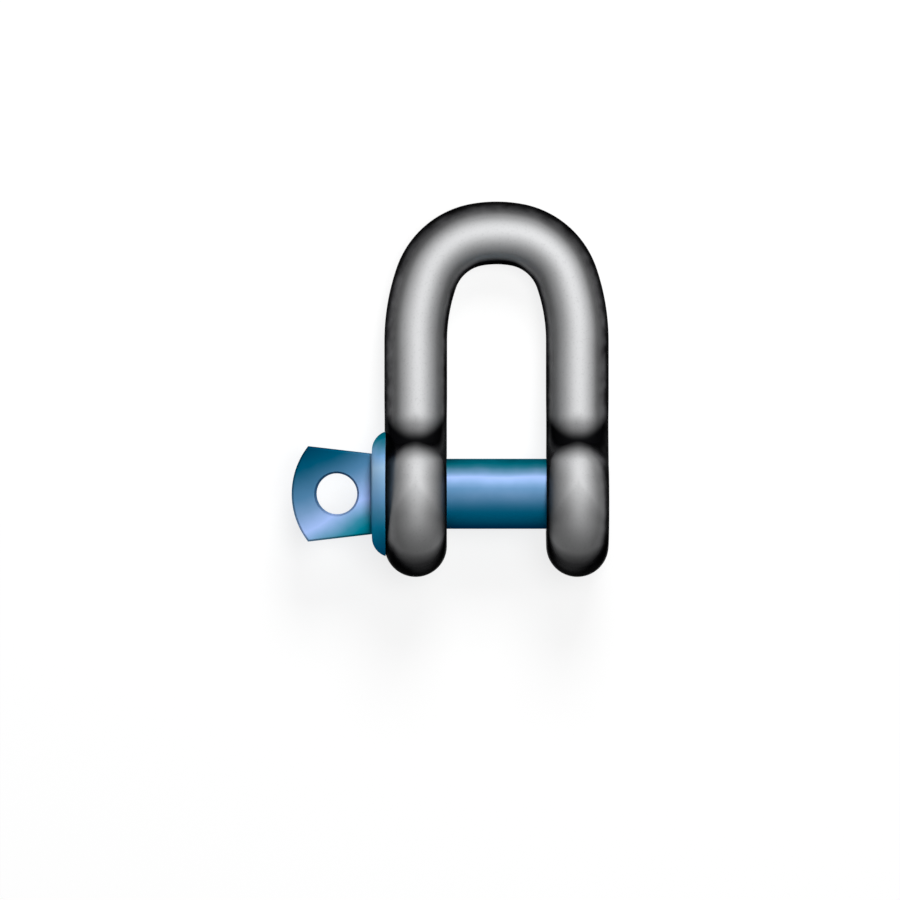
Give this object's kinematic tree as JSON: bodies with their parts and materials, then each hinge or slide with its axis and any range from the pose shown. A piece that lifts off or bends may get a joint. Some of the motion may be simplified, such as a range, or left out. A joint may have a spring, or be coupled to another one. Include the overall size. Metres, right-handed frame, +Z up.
{
  "type": "screw pin chain shackle",
  "caption": "Dee-shaped forged chain shackle with round eyes, closed by a screw pin with a collar and a flared, drilled tab; joins chain, rope eyes or lifting gear.",
  "frame": {"origin": "on the pin's axis, midway between the eyes", "axes": "+X along the pin from its tab to its threaded end, +Y from the pin towards the crown, +Z up, with the shackle lying at rest on the rims of its eyes and the back of its crown"},
  "size_m": [0.1626, 0.1909, 0.075],
  "materials": {
    "bow_steel": "satin forged steel, bright along the bar and dark in the hollows of the necks",
    "pin_blue": "blue temper colours under thin lacquer on forged steel, from navy through a pale band to teal"
  },
  "bodies": {
    "bow": {"shackle_bow": "bow_steel"},
    "pin": {"screw_pin": "pin_blue"}
  },
  "joints": [
    {"name": "pin_withdrawal", "type": "slide", "parent": "bow", "child": "pin", "axis": [-1, 0, 0], "range_m": [0, 0.12]}
  ]
}
